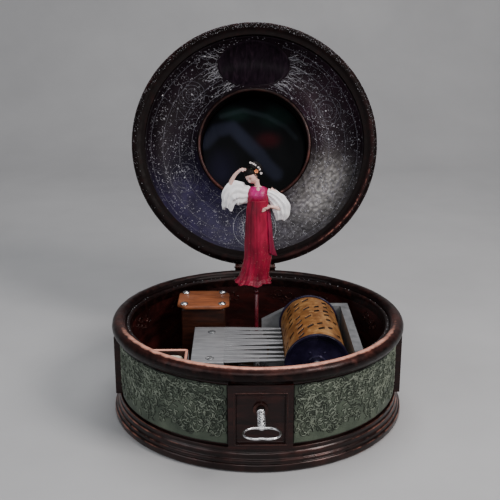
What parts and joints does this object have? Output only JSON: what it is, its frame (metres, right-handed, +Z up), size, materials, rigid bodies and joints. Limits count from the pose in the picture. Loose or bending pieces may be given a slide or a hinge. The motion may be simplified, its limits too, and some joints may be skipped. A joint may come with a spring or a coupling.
{
  "type": "cylinder music box",
  "caption": "round turned case with a domed mirror-lined lid, a cylinder-and-comb movement wound by a front key, and a folding dancer that turns on a rod",
  "frame": {"origin": "centre of the round base, on the table", "axes": "+Z up, -Y to the front with the key, +Y to the hinge, +X to the right seen from the front"},
  "size_m": [0.2, 0.323, 0.256],
  "materials": {
    "mahogany": "glossy dark red-brown stain",
    "brown_wood": "waxed red-brown",
    "red_copper": "aged red copper, polished on the high spots",
    "verdigris_relief": "grey-green patina over pressed metal",
    "steel": "brushed",
    "cast_iron": "grey cast, satin",
    "brass": "warm satin brass",
    "silver": "bright plated",
    "violet_lacquer": "dark violet lacquer",
    "dark_mirror": "smoked",
    "crimson_enamel": "gloss enamel",
    "crimson_satin": "pleated satin",
    "magenta_satin": "satin",
    "skin": "painted, satin",
    "black_hair": "painted, satin",
    "blossom": "matte",
    "white_cloth": "matte gathered cloth",
    "cream_cloth": "matte padded cloth"
  },
  "bodies": {
    "case": {"base_plinth": "mahogany", "bottom_board": "brown_wood", "case_wall": "mahogany", "top_rim": "red_copper", "relief_front_left": "verdigris_relief", "relief_front_right": "verdigris_relief", "relief_back_left": "verdigris_relief", "relief_back_right": "verdigris_relief", "pilaster_left": "mahogany", "pilaster_right": "mahogany", "pilaster_back": "mahogany", "key_panel": "mahogany", "key_bush": "brass", "cradle": "cast_iron", "train_plate": "steel", "comb_base": "cast_iron", "comb": "steel", "comb_screws": "steel", "block_body": "brown_wood", "block_plate": "brown_wood", "block_screws": "silver", "tray": "red_copper", "tray_pad": "cream_cloth", "rod_bracket": "cast_iron", "governor_bridge": "brass", "hinge_leaf_case": "brass", "hinge_pin": "steel"},
    "lid": {"hinge_leaf_lid": "brass", "lid_rim": "red_copper", "lid_shell": "mahogany", "lid_lining": "violet_lacquer", "mirror_bezel": "red_copper", "mirror": "dark_mirror"},
    "cylinder": {"cylinder_sleeve": "brass", "front_flange": "violet_lacquer", "rear_flange": "violet_lacquer", "cylinder_arbor": "steel"},
    "intermediate_wheel": {"mid_wheel": "brass"},
    "barrel": {"barrel_drum": "brass", "great_wheel": "brass", "mainspring": "steel"},
    "winding_shaft": {"winding_key": "silver", "winding_arbor": "steel", "ratchet_wheel": "steel"},
    "click_lever": {"click": "steel"},
    "drive_shaft": {"layshaft": "steel", "worm_wheel": "brass", "crown_wheel": "brass"},
    "governor": {"governor_worm": "steel", "air_fan": "brass"},
    "rod": {"dancer_rod": "crimson_enamel"},
    "tilt_joint": {"dancer_spring": "crimson_enamel"},
    "dancer": {"dress": "crimson_satin", "bodice": "magenta_satin", "head": "skin", "hair": "black_hair", "flowers": "blossom", "raised_arm": "skin", "waist_arm": "skin", "sleeves": "white_cloth"}
  },
  "joints": [
    {"name": "lid_hinge", "type": "hinge", "parent": "case", "child": "lid", "pos_m": [0, 0.1015, 0.0678], "axis": [1, 0, 0], "range_deg": [0, 110]},
    {"name": "dancer_fold", "type": "hinge", "parent": "case", "child": "tilt_joint", "pos_m": [0, 0.04, 0.0682], "axis": [1, 0, 0], "range_deg": [0, 90]},
    {"name": "dancer_turn", "type": "hinge", "parent": "tilt_joint", "child": "dancer", "pos_m": [0, 0.04, 0.0682], "axis": [0, 0, 1], "continuous": true},
    {"name": "cylinder_turn", "type": "hinge", "parent": "case", "child": "cylinder", "pos_m": [0.0385, 0, 0.044], "axis": [0, -1, 0], "continuous": true},
    {"name": "intermediate_turn", "type": "hinge", "parent": "case", "child": "intermediate_wheel", "pos_m": [0.02305, -0.0635, 0.03947], "axis": [0, -1, 0], "continuous": true},
    {"name": "barrel_turn", "type": "hinge", "parent": "case", "child": "barrel", "pos_m": [0, -0.07, 0.041], "axis": [0, -1, 0], "continuous": true},
    {"name": "key_turn", "type": "hinge", "parent": "case", "child": "winding_shaft", "pos_m": [0, -0.1, 0.041], "axis": [0, -1, 0], "continuous": true},
    {"name": "click_lift", "type": "hinge", "parent": "case", "child": "click_lever", "pos_m": [-0.0115, -0.053, 0.0486], "axis": [0, -1, 0], "range_deg": [0, 12]},
    {"name": "drive_shaft_turn", "type": "hinge", "parent": "case", "child": "drive_shaft", "pos_m": [0, 0, 0.0235], "axis": [0, -1, 0], "continuous": true},
    {"name": "governor_turn", "type": "hinge", "parent": "case", "child": "governor", "pos_m": [-0.0116, -0.02, 0.022], "axis": [0, 0, 1], "continuous": true},
    {"name": "rod_turn", "type": "hinge", "parent": "case", "child": "rod", "pos_m": [0, 0.04, 0.04], "axis": [0, 0, 1], "continuous": true}
  ],
  "couplings": [
    {"joint": "dancer_fold", "follows": "lid_hinge", "ratio": 0.81818},
    {"joint": "dancer_turn", "follows": "cylinder_turn", "ratio": 4},
    {"joint": "rod_turn", "follows": "cylinder_turn", "ratio": 4},
    {"joint": "intermediate_turn", "follows": "cylinder_turn", "ratio": -0.76923},
    {"joint": "barrel_turn", "follows": "cylinder_turn", "ratio": 0.5},
    {"joint": "drive_shaft_turn", "follows": "cylinder_turn", "ratio": -2},
    {"joint": "governor_turn", "follows": "cylinder_turn", "ratio": 48}
  ]
}
